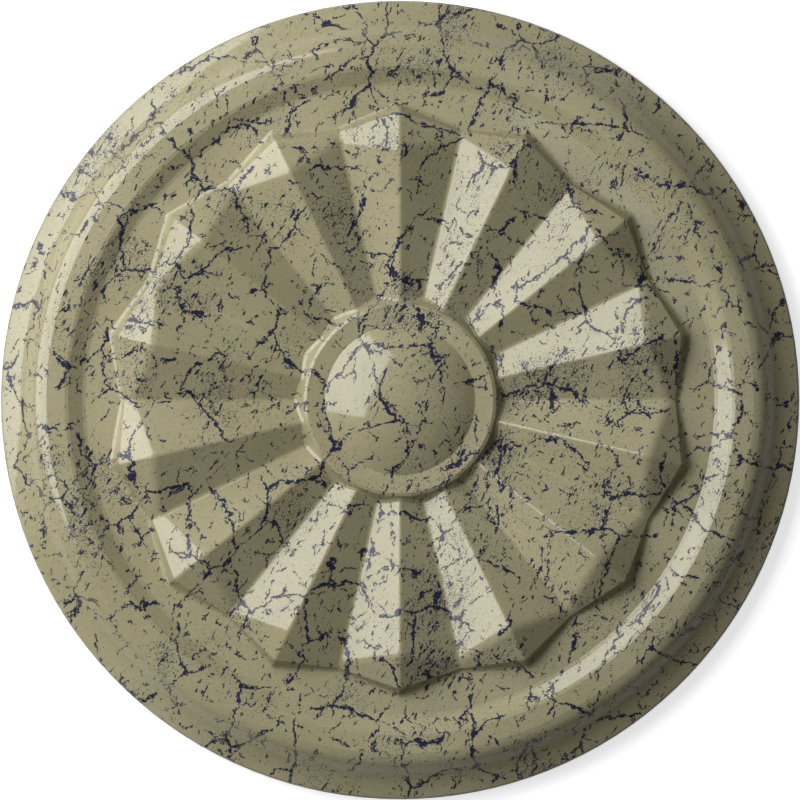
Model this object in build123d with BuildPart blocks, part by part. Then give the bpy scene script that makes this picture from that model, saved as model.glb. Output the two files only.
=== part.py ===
import os
from math import atan2, cos, degrees, hypot, radians, sin, tan
from build123d import *

os.makedirs("parts", exist_ok=True)

# A round ceiling medallion, moulded in one piece with a flat back.
# Millimetres. The origin is the centre of the back face, and +Z comes out of the decorated face.
# A ridge of the flower lies on each end of the Y axis, and a valley on each end of the X axis.

# Rim, from the outer edge inwards: a thin edge, a hollow cove, a bead and the bead's inner slope
outer_diameter = 254.0
edge_height = 6.6
edge_lean = 0.4  # the edge leans in by this much over its height
edge_chamfer = 0.5
cove_width = 11.6
cove_radius = 20.0
bead_rise = 3.3  # above the field, beside it
bead_fall = 0.4  # the bead's top is this much lower beside the cove
bead_width = 9.5
bead_crown_radius = 100.0
bead_round = 6.0
slope_width = 5.3
slope_top_chamfer = 0.6
slope_foot_chamfer = 0.6

# Field: the level floor between the bead and the flower
field_height = 13.3
field_width = 6.5

# Flower: folded petals, with flutes that rise outwards from one point on the axis
petal_count = 14
apex_depth = 7.06  # below the field
ridge_rise = 11.0  # above the field, at the bend where the petal turns down
valley_rise = 2.5  # above the field, at the bend
tip_run = 13.5  # along a ridge, from the bend out to the foot of the tip
notch_run = 2.7  # along a valley, from the bend out to the foot of the notch
notch_depth = 6.0  # the notches lie this far inside the tips
wall_height = 5.6  # at the tips
wall_draft = 22.0  # degrees off the vertical
bend_fillet = 5.0
wall_top_fillet = 0.6
wall_foot_fillet = 1.8
ridge_fillet = 1.6
valley_fillet = 1.8

# Boss: a drafted disc, with a dished ring around a low dome
boss_radius = 30.2
boss_rise = 2.3  # above the field
boss_draft = 26.0  # degrees off the vertical
boss_top_chamfer = 0.7
boss_foot_chamfer = 0.7
ring_width = 6.4
ring_fall = 0.6  # the ring is this much lower beside the dome
dome_rise = 7.0

# Radii that follow from the widths, and heights that follow from the field's
outer_radius = outer_diameter / 2
cove_start = outer_radius - edge_lean
bead_outer = cove_start - cove_width
bead_inner = bead_outer - bead_width
field_outer = bead_inner - slope_width
tip_radius = field_outer - field_width
notch_radius = tip_radius - notch_depth
ridge_bend_radius = tip_radius - tip_run
valley_bend_radius = notch_radius - notch_run
dome_radius = boss_radius - ring_width
bead_height = field_height + bead_rise
apex_height = field_height - apex_depth
ridge_height = field_height + ridge_rise
valley_height = field_height + valley_rise
boss_height = field_height + boss_rise
dome_foot_height = boss_height - ring_fall
dome_sphere_radius = (dome_radius**2 + dome_rise**2) / (2 * dome_rise)
petal_angle = 360 / petal_count
half_petal = petal_angle / 2


def spoke_point(radius, height, angle=0.0):
    return Vector(radius * cos(radians(angle)), radius * sin(radians(angle)), height)


def plane_through(first, second, third):
    return Plane(origin=first, x_dir=second - first, z_dir=(second - first).cross(third - first))


def middle_radius(edge):
    return hypot((edge @ 0.5).X, (edge @ 0.5).Y)


def is_in_valley(edge):
    turn = degrees(atan2((edge @ 0.5).Y, (edge @ 0.5).X))
    return abs(turn / petal_angle - round(turn / petal_angle)) < 0.001


# Planes of half a petal, with its ridge over the X axis and its valley half a petal further round
apex = spoke_point(0, apex_height)
ridge_bend = spoke_point(ridge_bend_radius, ridge_height)
valley_bend = spoke_point(valley_bend_radius, valley_height, half_petal)
tip_foot = spoke_point(tip_radius, field_height)
notch_foot = spoke_point(notch_radius, field_height, half_petal)
wall_out = (notch_foot - tip_foot).cross(Vector(0, 0, 1)).normalized()
wall_lean = wall_height * tan(radians(wall_draft))
tip_top = tip_foot + Vector(-wall_lean / wall_out.X, 0, wall_height)

flute_plane = plane_through(apex, ridge_bend, valley_bend)
end_plane = plane_through(ridge_bend, tip_top, valley_bend)
wall_plane = plane_through(tip_foot, notch_foot, tip_top)

# One petal: a wedge trimmed by the planes and mirrored, with its crest rounded from end to end
with BuildPart() as petal:
    with BuildSketch(Plane.XY.offset(apex_height / 2)):
        with BuildLine():
            blank_corner = spoke_point(outer_radius, 0, half_petal)
            Polyline((0, 0), (blank_corner.X, 0), (blank_corner.X, blank_corner.Y), close=True)
        make_face()
    extrude(amount=ridge_height)
    for limit in (flute_plane, end_plane, wall_plane):
        split(bisect_by=limit, keep=Keep.BOTTOM)
    fillet(petal.edges().filter_by(flute_plane).filter_by(end_plane), bend_fillet)
    fillet(petal.edges().filter_by(wall_plane).filter_by(end_plane), wall_top_fillet)
    mirror(about=Plane.XZ)
    crest = petal.edges().filter_by_position(Axis.Y, -0.01, 0.01).sort_by(Axis.X)[1:]
    fillet(crest, ridge_fillet)

# The medallion. Its profiles stand on the YZ plane, so that their seams keep clear of the valleys.
with BuildPart() as medallion:
    with BuildSketch(Plane.YZ):
        with BuildLine():
            back = Line((0, 0), (outer_radius, 0))
            edge = Line(back @ 1, (cove_start, edge_height))
            cove = RadiusArc(edge @ 1, (bead_outer, bead_height - bead_fall), cove_radius)
            bead = RadiusArc(cove @ 1, (bead_inner, bead_height), -bead_crown_radius)
            slope = Line(bead @ 1, (field_outer, field_height))
            field = Line(slope @ 1, (valley_bend_radius, field_height))
            under_petals = Line(field @ 1, (0, apex_height))
            Line(under_petals @ 1, back @ 0)
        make_face()
        chamfer(vertices().sort_by_distance(cove @ 0)[0], edge_chamfer)
        fillet(vertices().sort_by_distance(cove @ 1)[0], bead_round)
        chamfer(vertices().sort_by_distance(slope @ 0)[0], slope_top_chamfer)
        chamfer(vertices().sort_by_distance(slope @ 1)[0], slope_foot_chamfer)
    revolve(axis=Axis.Z)

    with PolarLocations(0, petal_count, start_angle=half_petal):
        add(petal.part)

    boss_skirt = (boss_height - apex_height) * tan(radians(boss_draft))
    with BuildSketch(Plane.YZ):
        with BuildLine():
            floor = Line((0, apex_height), (boss_radius + boss_skirt, apex_height))
            wall = Line(floor @ 1, (boss_radius, boss_height))
            ring = Line(wall @ 1, (dome_radius, dome_foot_height))
            dome = RadiusArc(ring @ 1, (0, dome_foot_height + dome_rise), -dome_sphere_radius)
            Line(dome @ 1, floor @ 0)
        make_face()
        chamfer(vertices().sort_by_distance(ring @ 0)[0], boss_top_chamfer)
    revolve(axis=Axis.Z)

    # Valleys from the boss down to the field, then the foot of the flower, then the foot of the boss
    flower_edges = medallion.edges().filter_by(
        lambda edge: boss_radius + boss_skirt < middle_radius(edge) < tip_radius
        and abs((edge @ 0.5).Z - field_height) > 0.01
    )
    fillet(flower_edges.filter_by(is_in_valley), valley_fillet)

    floor_edges = medallion.edges().filter_by_position(Axis.Z, field_height - 0.01, field_height + 0.01)
    fillet(floor_edges.filter_by(lambda edge: middle_radius(edge) < tip_radius + field_width / 2), wall_foot_fillet)

    boss_foot = spoke_point(boss_radius + boss_skirt, apex_height, 90)
    boss_wall = medallion.faces().filter_by(GeomType.CONE).sort_by_distance(boss_foot)[0]
    collar = boss_wall.edges().filter_by(GeomType.LINE, reverse=True).filter_by(GeomType.CIRCLE, reverse=True)
    chamfer(collar, boss_foot_chamfer)

medallion.part.label = "medallion"
export_step(medallion.part, "parts/medallion.step")
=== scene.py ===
import math
import bpy
import mathutils
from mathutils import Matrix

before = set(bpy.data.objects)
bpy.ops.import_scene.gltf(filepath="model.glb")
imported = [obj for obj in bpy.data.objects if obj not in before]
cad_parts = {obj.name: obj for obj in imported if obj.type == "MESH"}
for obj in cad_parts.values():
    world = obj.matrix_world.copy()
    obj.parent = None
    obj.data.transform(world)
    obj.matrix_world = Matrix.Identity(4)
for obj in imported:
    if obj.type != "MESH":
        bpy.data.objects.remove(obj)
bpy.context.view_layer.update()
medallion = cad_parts["medallion"]
print("frame loaded")


def linear(hexColour):
    # sRGB hex to the linear values that the sockets take
    parts = [int(hexColour[i:i + 2], 16) / 255 for i in (0, 2, 4)]
    values = [c / 12.92 if c <= 0.04045 else ((c + 0.055) / 1.055) ** 2.4 for c in parts]
    return (*values, 1.0)


def addNode(tree, kind, settings={}, inputs={}):
    node = tree.nodes.new(kind)
    for name, value in settings.items():
        setattr(node, name, value)
    for name, value in inputs.items():
        if isinstance(value, bpy.types.NodeSocket):
            tree.links.new(value, node.inputs[name])
        else:
            node.inputs[name].default_value = value
    return node


# Crackle paint: satin tan enamel that has split over a dark blue-grey undercoat. To the eye it is
# a smooth skin that mirrors a window softly, with crisp jagged lines and flecks sunk into it.
# Names in Mm are millimetres, and names in PerMm are a pattern's scale, so 0.05 is about 20 mm.
# Names in Levels are where a noise, which keeps to about 0.25 to 0.75, starts and ends its effect.
paint = {
    "tan": "9B9575",
    "tanLight": "A59F80",
    "tanDark": "867F60",
    "crack": "28293E",
    # the film
    "ior": 1.6,
    "roughness": 0.1,
    "crackRoughness": 0.14,
    "crackGloss": 0.6,
    "crackDepth": 0.00008,  # metres
    "reliefStrength": 0.35,
    "peelPerMm": 0.45,
    "peelShare": 0.12,  # of the cracks' depth
    "cloudPerMm": 0.03,
    "cloudLevels": (0.35, 0.65),
    "mottlePerMm": 0.9,
    "mottleLevels": (0.4, 0.75),
    "mottleMost": 0.4,
    # what bends the cracks, and how far
    "crackStretch": (1.2, 0.95, 1.0),
    "wanderPerMm": 0.05,
    "wanderMm": 15.0,
    "shakePerMm": 0.45,
    "shakeMm": 3.2,
    "chipMm": 1.4,
    "chipThrowMm": 0.9,
    # the edges of all cracks
    "edgeMm": (-0.06, 0.08),
    "raggedPerMm": 1.5,
    "raggedLevels": (0.25, 0.75),
    "raggedMm": 0.5,
    "shutMm": -0.35,  # a half width that no ragged edge makes up for
    # long cracks, with the size of the cells between them
    "longCellMm": 18.5,
    "longHalfWidthMm": 0.34,
    "openingPerMm": 0.085,
    "openingLevels": (0.435, 0.49),
    "breaksPerMm": 0.3,
    "thickLevels": (0.48, 0.68),
    "thickPlaceMm": 0.46,
    # branches
    "branchCellMm": 7.8,
    "branchHalfWidthMm": 0.27,
    "branchReachMm": 6.0,
    "branchBoost": 0.06,
    "branchLevels": (0.515, 0.565),
    # flecks and specks, which crowd together in patches
    "patchPerMm": 0.045,
    "crowdLevels": (0.44, 0.66),
    "crowdBoost": (-0.012, 0.078),
    "fleckLean": math.radians(62),
    "fleckSizeMm": (3.0, 0.9, 1.7),
    "fleckScale": 0.85,
    "fleckLevels": (0.66, 0.69),
    "speckPerMm": 2.1,
    "speckCrowding": 1.3,
    "speckLevels": (0.675, 0.715),
    # the net of hair cracks
    "netCellMm": 1.5,
    "netLevels": (0.54, 0.66),
    "netHalfWidthMm": (-0.3, 0.06),
    "netRagged": 0.9,
    "netDark": 0.6,
    # steep walls, by the height of their normal
    "steepNormal": (0.55, 0.85),
    "steepFade": 0.6,
}


def makePaint(p):
    mat = bpy.data.materials.new("satinCracklePaint")
    mat.use_nodes = True
    tree = mat.node_tree
    tree.nodes.clear()
    coords = addNode(tree, "ShaderNodeTexCoord")
    mm = addNode(tree, "ShaderNodeVectorMath", {"operation": "SCALE"},
                 {0: coords.outputs["Object"], "Scale": 1000.0})
    place = mm.outputs[0]

    # the net of cracks is drawn out along the flecks' lean, wanders over a couple of centimetres,
    # shakes over a couple of millimetres, and jumps from chip to chip
    drawn = addNode(tree, "ShaderNodeMapping", {"vector_type": "TEXTURE"},
                    {"Vector": place, "Rotation": (0.0, 0.0, p["fleckLean"]),
                     "Scale": p["crackStretch"]})
    wander = addNode(tree, "ShaderNodeTexNoise", {},
                     {"Vector": place, "Scale": p["wanderPerMm"], "Detail": 3.0, "Roughness": 0.5})
    bent = addNode(tree, "ShaderNodeVectorMath", {"operation": "MULTIPLY_ADD"},
                   {0: wander.outputs["Color"], 1: (p["wanderMm"],) * 3, 2: drawn.outputs[0]})
    shake = addNode(tree, "ShaderNodeTexNoise", {},
                    {"Vector": place, "Scale": p["shakePerMm"], "Detail": 4.0, "Roughness": 0.68})
    shaken = addNode(tree, "ShaderNodeVectorMath", {"operation": "MULTIPLY_ADD"},
                     {0: shake.outputs["Color"], 1: (p["shakeMm"],) * 3, 2: bent.outputs[0]})
    chips = addNode(tree, "ShaderNodeTexVoronoi", {"voronoi_dimensions": "2D"},
                    {"Vector": place, "Scale": 1 / p["chipMm"]})
    jagged = addNode(tree, "ShaderNodeVectorMath", {"operation": "MULTIPLY_ADD"},
                     {0: chips.outputs["Color"], 1: (p["chipThrowMm"],) * 3, 2: shaken.outputs[0]})

    def addCracks(cellMm, halfWidth):
        # dark along the edges of cells, wherever the half width is more than nothing
        cells = addNode(tree, "ShaderNodeTexVoronoi",
                        {"feature": "DISTANCE_TO_EDGE", "voronoi_dimensions": "2D"},
                        {"Vector": jagged.outputs[0], "Scale": 1 / cellMm})
        away = addNode(tree, "ShaderNodeMath", {"operation": "MULTIPLY"},
                       {0: cells.outputs["Distance"], 1: cellMm})
        inside = addNode(tree, "ShaderNodeMath", {"operation": "SUBTRACT"},
                         {0: halfWidth, 1: away.outputs[0]})
        line = addNode(tree, "ShaderNodeMapRange", {},
                       {"Value": inside.outputs[0], "From Min": p["edgeMm"][0],
                        "From Max": p["edgeMm"][1]})
        return line.outputs[0], away.outputs[0]

    # every edge is ragged, by a noise as fine as the narrowest cracks
    grit = addNode(tree, "ShaderNodeTexNoise", {},
                   {"Vector": place, "Scale": p["raggedPerMm"], "Detail": 2.0, "Roughness": 0.6})
    ragged = addNode(tree, "ShaderNodeMapRange", {},
                     {"Value": grit.outputs["Fac"], "From Min": p["raggedLevels"][0],
                      "From Max": p["raggedLevels"][1], "To Min": -p["raggedMm"] / 2,
                      "To Max": p["raggedMm"] / 2})

    # long cracks, which stop and start along their length and are thick in places
    opening = addNode(tree, "ShaderNodeTexNoise", {},
                      {"Vector": place, "Scale": p["openingPerMm"], "Detail": 5.0,
                       "Roughness": 0.6})
    longOpen = addNode(tree, "ShaderNodeMapRange", {},
                       {"Value": opening.outputs["Fac"], "From Min": p["openingLevels"][0],
                        "From Max": p["openingLevels"][1], "To Min": p["shutMm"],
                        "To Max": p["longHalfWidthMm"]})
    breaks = addNode(tree, "ShaderNodeTexNoise", {},
                     {"Vector": place, "Scale": p["breaksPerMm"], "Detail": 3.0, "Roughness": 0.6})
    thick = addNode(tree, "ShaderNodeMapRange", {},
                    {"Value": breaks.outputs["Fac"], "From Min": p["thickLevels"][0],
                     "From Max": p["thickLevels"][1], "To Min": 0.0, "To Max": p["thickPlaceMm"]})
    longWidth = addNode(tree, "ShaderNodeMath", {"operation": "ADD"},
                        {0: longOpen.outputs[0], 1: thick.outputs[0]})
    longRagged = addNode(tree, "ShaderNodeMath", {"operation": "ADD"},
                         {0: longWidth.outputs[0], 1: ragged.outputs[0]})
    longCracks, awayFromLong = addCracks(p["longCellMm"], longRagged.outputs[0])

    # short branches, which come mostly beside the cells' long edges
    beside = addNode(tree, "ShaderNodeMapRange", {},
                     {"Value": awayFromLong, "From Min": 0.0, "From Max": p["branchReachMm"],
                      "To Min": p["branchBoost"], "To Max": 0.0})
    level = addNode(tree, "ShaderNodeMath", {"operation": "ADD"},
                    {0: breaks.outputs["Fac"], 1: beside.outputs[0]})
    branchOpen = addNode(tree, "ShaderNodeMapRange", {},
                         {"Value": level.outputs[0], "From Min": p["branchLevels"][0],
                          "From Max": p["branchLevels"][1], "To Min": p["shutMm"],
                          "To Max": p["branchHalfWidthMm"]})
    branchRagged = addNode(tree, "ShaderNodeMath", {"operation": "ADD"},
                           {0: branchOpen.outputs[0], 1: ragged.outputs[0]})
    branches = addCracks(p["branchCellMm"], branchRagged.outputs[0])[0]

    # flecks that lean one way, a few times longer than wide, and that crowd together in patches
    lean = addNode(tree, "ShaderNodeMapping", {"vector_type": "TEXTURE"},
                   {"Vector": place, "Rotation": (0.0, 0.0, p["fleckLean"]),
                    "Scale": p["fleckSizeMm"]})
    fleckNoise = addNode(tree, "ShaderNodeTexNoise", {},
                         {"Vector": lean.outputs[0], "Scale": p["fleckScale"], "Detail": 3.0,
                          "Roughness": 0.55})
    patches = addNode(tree, "ShaderNodeTexNoise", {},
                      {"Vector": place, "Scale": p["patchPerMm"], "Detail": 3.0, "Roughness": 0.5})
    crowd = addNode(tree, "ShaderNodeMapRange", {},
                    {"Value": patches.outputs["Fac"], "From Min": p["crowdLevels"][0],
                     "From Max": p["crowdLevels"][1], "To Min": p["crowdBoost"][0],
                     "To Max": p["crowdBoost"][1]})
    fleckLevel = addNode(tree, "ShaderNodeMath", {"operation": "ADD"},
                         {0: fleckNoise.outputs["Fac"], 1: crowd.outputs[0]})
    flecks = addNode(tree, "ShaderNodeMapRange", {},
                     {"Value": fleckLevel.outputs[0], "From Min": p["fleckLevels"][0],
                      "From Max": p["fleckLevels"][1]})

    # specks, mostly in the same patches, and a fine net of hair cracks in the densest of them
    speckNoise = addNode(tree, "ShaderNodeTexNoise", {},
                         {"Vector": place, "Scale": p["speckPerMm"], "Detail": 2.0,
                          "Roughness": 0.5})
    speckLevel = addNode(tree, "ShaderNodeMath", {"operation": "MULTIPLY_ADD"},
                         {0: crowd.outputs[0], 1: p["speckCrowding"],
                          2: speckNoise.outputs["Fac"]})
    specks = addNode(tree, "ShaderNodeMapRange", {},
                     {"Value": speckLevel.outputs[0], "From Min": p["speckLevels"][0],
                      "From Max": p["speckLevels"][1]})
    dense = addNode(tree, "ShaderNodeMapRange", {},
                    {"Value": patches.outputs["Fac"], "From Min": p["netLevels"][0],
                     "From Max": p["netLevels"][1], "To Min": p["netHalfWidthMm"][0],
                     "To Max": p["netHalfWidthMm"][1]})
    netWidth = addNode(tree, "ShaderNodeMath", {"operation": "MULTIPLY_ADD"},
                       {0: ragged.outputs[0], 1: p["netRagged"], 2: dense.outputs[0]})
    net = addCracks(p["netCellMm"], netWidth.outputs[0])[0]
    hairs = addNode(tree, "ShaderNodeMath", {"operation": "MULTIPLY"}, {0: net, 1: p["netDark"]})

    cracks = addNode(tree, "ShaderNodeMath", {"operation": "MAXIMUM"}, {0: longCracks, 1: branches})
    dots = addNode(tree, "ShaderNodeMath", {"operation": "MAXIMUM"},
                   {0: flecks.outputs[0], 1: specks.outputs[0]})
    fine = addNode(tree, "ShaderNodeMath", {"operation": "MAXIMUM"},
                   {0: dots.outputs[0], 1: hairs.outputs[0]})
    allDark = addNode(tree, "ShaderNodeMath", {"operation": "MAXIMUM"},
                      {0: cracks.outputs[0], 1: fine.outputs[0]})

    # the paint ran thick on steep walls and partly hides the cracks there, and on the back too
    geometry = addNode(tree, "ShaderNodeNewGeometry")
    upright = addNode(tree, "ShaderNodeSeparateXYZ", {}, {0: geometry.outputs["True Normal"]})
    cover = addNode(tree, "ShaderNodeMapRange", {},
                    {"Value": upright.outputs["Z"], "From Min": p["steepNormal"][0],
                     "From Max": p["steepNormal"][1], "To Min": p["steepFade"], "To Max": 1.0})
    dark = addNode(tree, "ShaderNodeMath", {"operation": "MULTIPLY"},
                   {0: allDark.outputs[0], 1: cover.outputs[0]})

    # the tan itself: broad cloudy changes and a finer mottle
    cloud = addNode(tree, "ShaderNodeTexNoise", {},
                    {"Vector": place, "Scale": p["cloudPerMm"], "Detail": 3.0, "Roughness": 0.5})
    cloudFac = addNode(tree, "ShaderNodeMapRange", {},
                       {"Value": cloud.outputs["Fac"], "From Min": p["cloudLevels"][0],
                        "From Max": p["cloudLevels"][1]})
    tan = addNode(tree, "ShaderNodeMix", {"data_type": "RGBA"},
                  {0: cloudFac.outputs[0], 6: linear(p["tan"]), 7: linear(p["tanLight"])})
    mottle = addNode(tree, "ShaderNodeTexNoise", {},
                     {"Vector": place, "Scale": p["mottlePerMm"], "Detail": 4.0, "Roughness": 0.7})
    mottleFac = addNode(tree, "ShaderNodeMapRange", {},
                        {"Value": mottle.outputs["Fac"], "From Min": p["mottleLevels"][0],
                         "From Max": p["mottleLevels"][1], "To Min": 0.0,
                         "To Max": p["mottleMost"]})
    tanMottled = addNode(tree, "ShaderNodeMix", {"data_type": "RGBA"},
                         {0: mottleFac.outputs[0], 6: tan.outputs[2], 7: linear(p["tanDark"])})
    colour = addNode(tree, "ShaderNodeMix", {"data_type": "RGBA"},
                     {0: dark.outputs[0], 6: tanMottled.outputs[2], 7: linear(p["crack"])})

    # the film has a slight orange peel, and the cracks are shallow, a little rougher and duller
    peel = addNode(tree, "ShaderNodeTexNoise", {},
                   {"Vector": place, "Scale": p["peelPerMm"], "Detail": 2.0, "Roughness": 0.5})
    height = addNode(tree, "ShaderNodeMath", {"operation": "MULTIPLY"},
                     {0: peel.outputs["Fac"], 1: p["peelShare"]})
    relief = addNode(tree, "ShaderNodeMath", {"operation": "SUBTRACT"},
                     {0: height.outputs[0], 1: dark.outputs[0]})
    bump = addNode(tree, "ShaderNodeBump", {},
                   {"Strength": p["reliefStrength"], "Distance": p["crackDepth"],
                    "Height": relief.outputs[0]})
    rough = addNode(tree, "ShaderNodeMapRange", {},
                    {"Value": dark.outputs[0], "To Min": p["roughness"],
                     "To Max": p["crackRoughness"]})
    gloss = addNode(tree, "ShaderNodeMix", {"data_type": "RGBA"},
                    {0: dark.outputs[0], 6: (1.0, 1.0, 1.0, 1.0),
                     7: (*(p["crackGloss"],) * 3, 1.0)})
    shader = addNode(tree, "ShaderNodeBsdfPrincipled", {},
                     {"Base Color": colour.outputs[2], "Roughness": rough.outputs[0],
                      "IOR": p["ior"], "Specular Tint": gloss.outputs[2],
                      "Normal": bump.outputs[0]})
    addNode(tree, "ShaderNodeOutputMaterial", {}, {"Surface": shader.outputs[0]})
    return mat


medallion.data.materials.clear()
medallion.data.materials.append(makePaint(paint))
print("medallion painted")

# The room: a white floor, a softbox at the upper left, and a world that is white to the camera
# and dim to the paint. Metres, degrees and watts; an azimuth is counted from +X towards +Y.
room = {
    "floorWide": 12.0,
    "floorDrop": 0.0005,
    "floorColour": "C8C8C8",
    "floorGlow": 0.72,
    "worldColour": "FFFFFF",
    "worldStrength": 0.045,
    "keyAzimuth": 152.4,
    "keyTilt": 51.2,
    "keyRoll": 4.0,
    "keyDistance": 1.1,
    "keySize": (1.34, 1.16),
    "keyWatts": 17.3,
    "fillTilt": 28.0,
    "fillDistance": 0.55,
    "fillSize": (0.3, 0.3),
    "fillWatts": 0.95,
    "cardAzimuth": 46.0,
    "cardTilt": 4.1,
    "cardDistance": 3.3,
    "cardSize": (0.2, 0.11),
    "cardWatts": 0.13,
}

bpy.ops.object.select_all(action="DESELECT")
bpy.ops.mesh.primitive_plane_add(size=room["floorWide"], location=(0, 0, -room["floorDrop"]))
floor = bpy.context.object
floor.name = "floor"
floorMat = bpy.data.materials.new("whiteFloor")
floorMat.use_nodes = True
tree = floorMat.node_tree
tree.nodes.clear()
path = addNode(tree, "ShaderNodeLightPath")
glow = addNode(tree, "ShaderNodeMath", {"operation": "MULTIPLY"},
               {0: path.outputs["Is Camera Ray"], 1: room["floorGlow"]})
paper = addNode(tree, "ShaderNodeBsdfDiffuse", {}, {"Color": linear(room["floorColour"])})
shine = addNode(tree, "ShaderNodeEmission", {},
                {"Color": (1.0, 1.0, 1.0, 1.0), "Strength": glow.outputs[0]})
both = addNode(tree, "ShaderNodeAddShader", {}, {0: paper.outputs[0], 1: shine.outputs[0]})
addNode(tree, "ShaderNodeOutputMaterial", {}, {"Surface": both.outputs[0]})
floor.data.materials.append(floorMat)

world = bpy.data.worlds.new("paleRoom")
bpy.context.scene.world = world
world.use_nodes = True
tree = world.node_tree
tree.nodes.clear()
path = addNode(tree, "ShaderNodeLightPath")
brightness = addNode(tree, "ShaderNodeMapRange", {},
                     {"Value": path.outputs["Is Camera Ray"], "To Min": room["worldStrength"],
                      "To Max": 1.0})
sky = addNode(tree, "ShaderNodeBackground", {},
              {"Color": linear(room["worldColour"]), "Strength": brightness.outputs[0]})
addNode(tree, "ShaderNodeOutputWorld", {}, {"Surface": sky.outputs[0]})


def addSoftbox(name, azimuth, tilt, distance, size, watts, roll=0.0):
    # a rectangular area light that faces the middle of the medallion
    light = bpy.data.lights.new(name, "AREA")
    light.shape = "RECTANGLE"
    light.size, light.size_y = size
    light.energy = watts
    lamp = bpy.data.objects.new(name, light)
    bpy.context.collection.objects.link(lamp)
    lamp.visible_camera = False
    a, t = math.radians(azimuth), math.radians(tilt)
    out = distance * math.sin(t)
    lamp.location = (out * math.cos(a), out * math.sin(a), distance * math.cos(t))
    facing = mathutils.Euler((t, 0, a + math.pi / 2)).to_matrix()
    turned = facing @ mathutils.Matrix.Rotation(math.radians(roll), 3, "Z")
    lamp.rotation_euler = turned.to_euler()
    return lamp


addSoftbox("key", room["keyAzimuth"], room["keyTilt"], room["keyDistance"], room["keySize"],
           room["keyWatts"], room["keyRoll"])
# a weak fill from the same side, which the gloss does not mirror
fill = addSoftbox("fill", room["keyAzimuth"], room["fillTilt"], room["fillDistance"],
                  room["fillSize"], room["fillWatts"])
fill.visible_glossy = False
# a small card past the camera, which level paint at the upper right mirrors as a thin veil
addSoftbox("card", room["cardAzimuth"], room["cardTilt"], room["cardDistance"], room["cardSize"],
           room["cardWatts"])
print("room lit")

# The camera looks straight down, with the disc just filling the frame. Metres.
view = {
    "distance": 3.0,
    "halfFrame": 0.1272,
    "rimHeight": 0.001,  # where half the frame is measured
    "clipEnd": 50.0,
}
camera = bpy.data.cameras.new("camera")
camera.sensor_width = 36.0
camera.lens = camera.sensor_width / 2 * (view["distance"] - view["rimHeight"]) / view["halfFrame"]
camera.clip_end = view["clipEnd"]
cameraObject = bpy.data.objects.new("camera", camera)
bpy.context.collection.objects.link(cameraObject)
cameraObject.location = (0, 0, view["distance"])
bpy.context.scene.camera = cameraObject
bpy.context.scene.view_settings.view_transform = "Standard"
print("camera placed")
